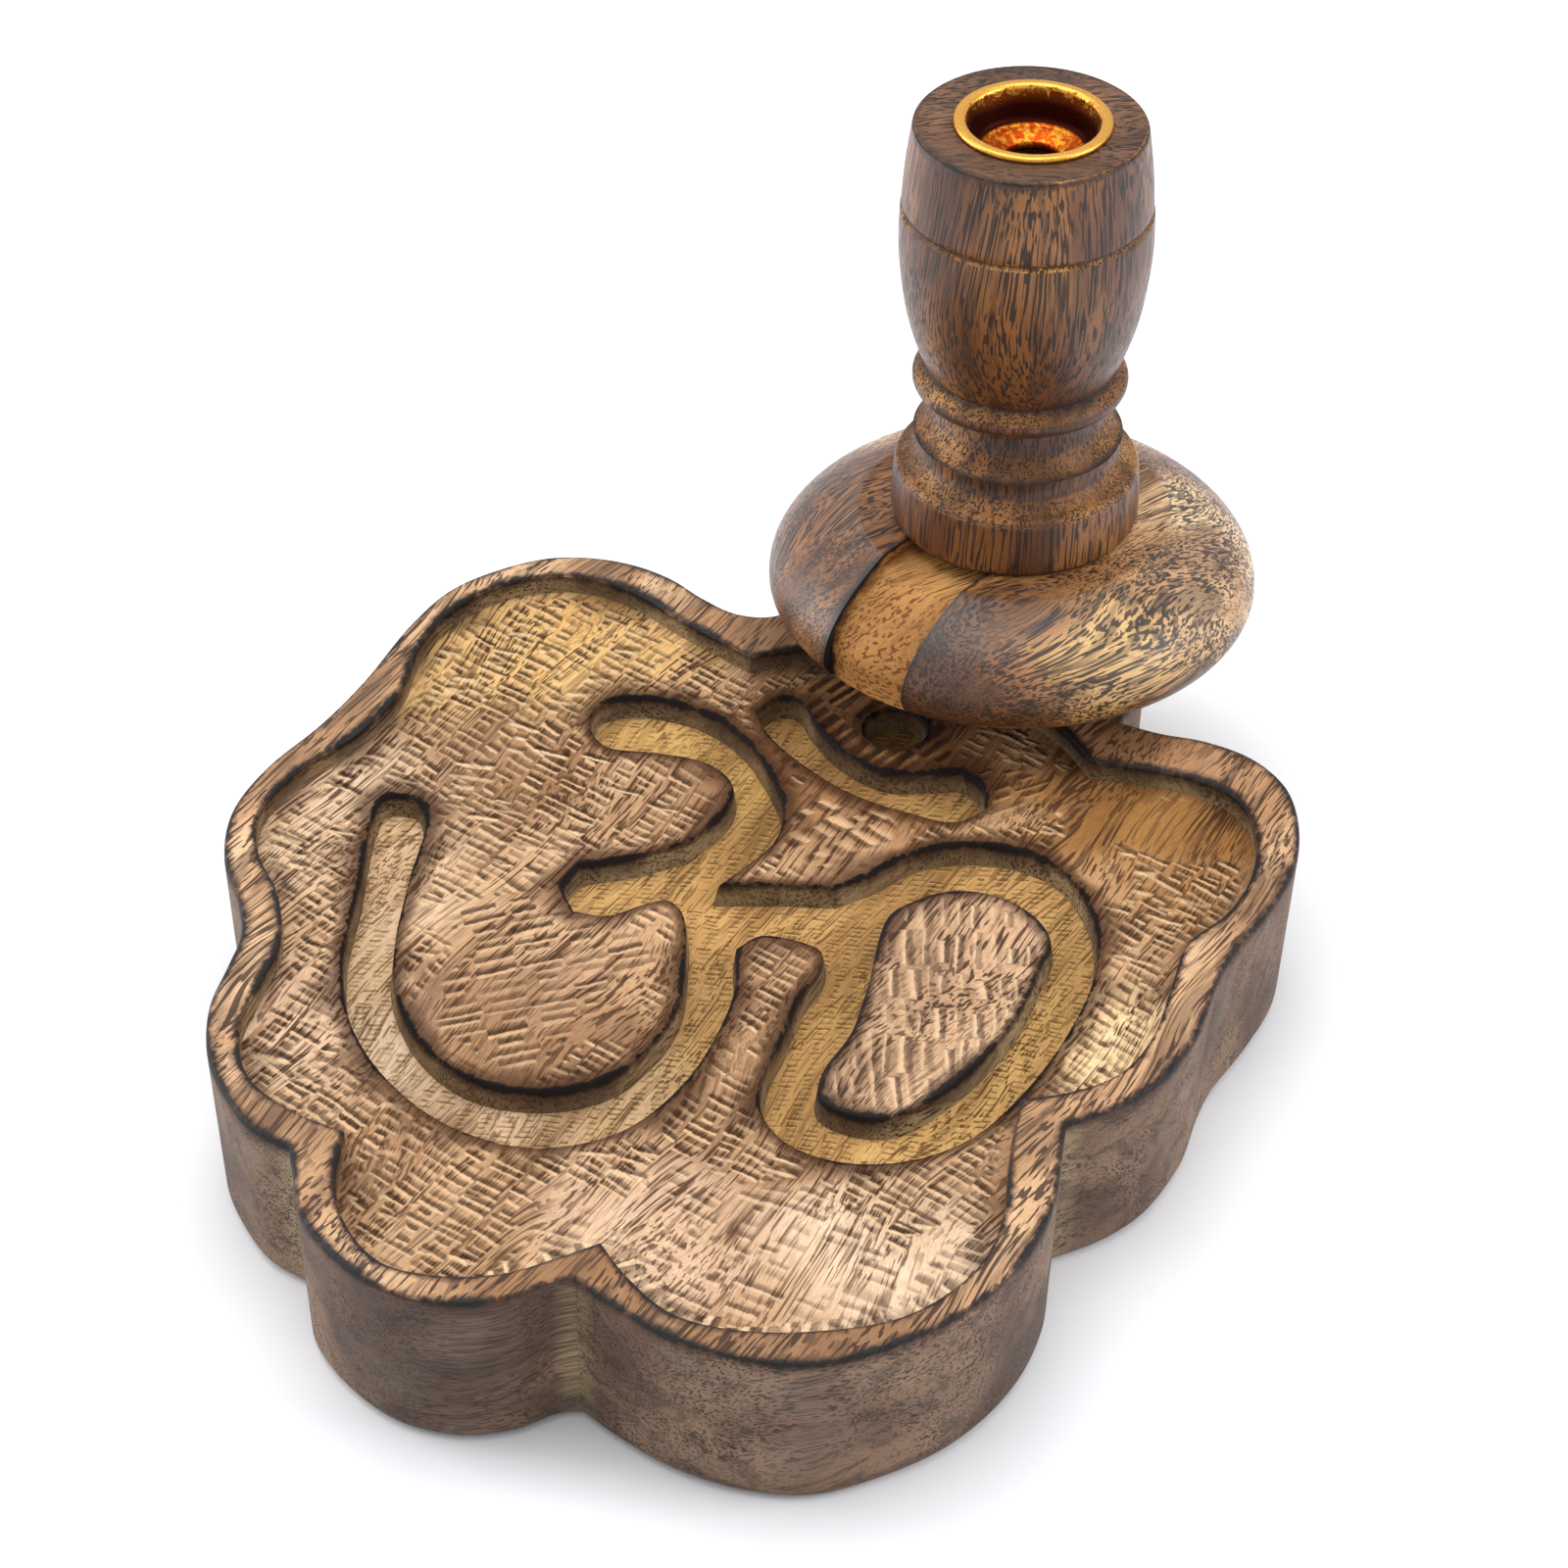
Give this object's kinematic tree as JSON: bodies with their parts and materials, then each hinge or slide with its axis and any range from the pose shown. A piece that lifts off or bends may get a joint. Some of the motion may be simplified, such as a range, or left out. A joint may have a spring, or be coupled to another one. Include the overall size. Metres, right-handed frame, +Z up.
{
  "type": "incense burner",
  "caption": "Carved wooden smoke-fall burner: a cone in the brass cup sends its smoke down the turned stem, out of a chute and into the carved tray.",
  "frame": {"origin": "under the middle of the whole object, on the plane it stands on", "axes": "+Z up; +Y from the tray towards the stem, which is the way the Om reads upright; +X to the right of the Om"},
  "size_m": [0.13, 0.1854, 0.103],
  "materials": {
    "tray_wood": "waxed and chased mango wood, edges charred",
    "bun_wood": "polished turned wood with dark streaks",
    "stem_wood": "satin turned wood, dark pores",
    "cup_brass": "polished flange, tarnished bowl",
    "screw_steel": "plain bright steel"
  },
  "bodies": {
    "burner": {"tray": "tray_wood", "bun": "bun_wood", "stem": "stem_wood", "foot_screw_left": "screw_steel", "foot_screw_right": "screw_steel"},
    "cup": {"brass_cup": "cup_brass"}
  },
  "joints": [
    {"name": "cup_lift", "type": "slide", "parent": "burner", "child": "cup", "axis": [0, 0, 1], "range_m": [0, 0.03]}
  ]
}
